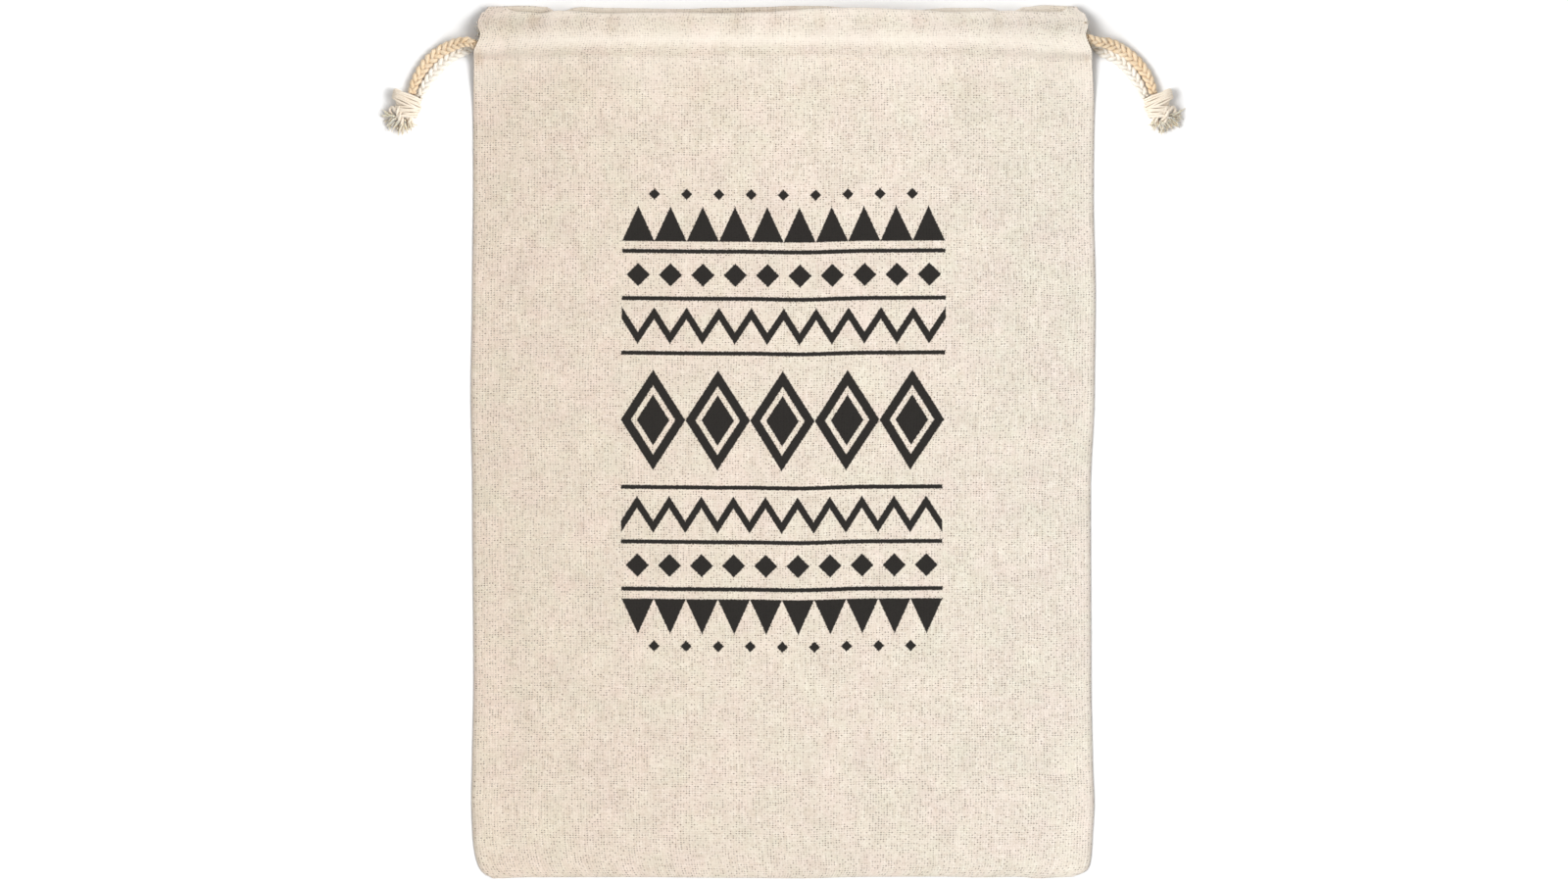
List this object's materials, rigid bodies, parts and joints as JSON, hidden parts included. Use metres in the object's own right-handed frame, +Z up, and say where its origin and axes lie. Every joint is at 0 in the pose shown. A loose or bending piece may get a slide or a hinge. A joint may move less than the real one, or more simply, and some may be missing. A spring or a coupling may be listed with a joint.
{
  "type": "linen drawstring bread bag",
  "caption": "Flat, empty linen bread bag lying on its back: two panels with a drawstring casing along the mouth and a knotted cord at each side.",
  "frame": {"origin": "on the surface the bag lies on, under the middle of the two panels' bounding box", "axes": "+X to the right as the printed front is seen, +Y towards the mouth with its drawstrings, +Z up out of the front"},
  "size_m": [0.3854, 0.4222, 0.0188],
  "materials": {
    "linen": "unbleached plain-weave linen, matte",
    "cotton_cord": "plaited raw cotton cord, matte"
  },
  "bodies": {
    "root": {"back_panel": "linen", "front_panel": "linen", "drawstring_left": "cotton_cord", "drawstring_right": "cotton_cord", "knot_left": "cotton_cord", "knot_right": "cotton_cord"}
  },
  "joints": []
}
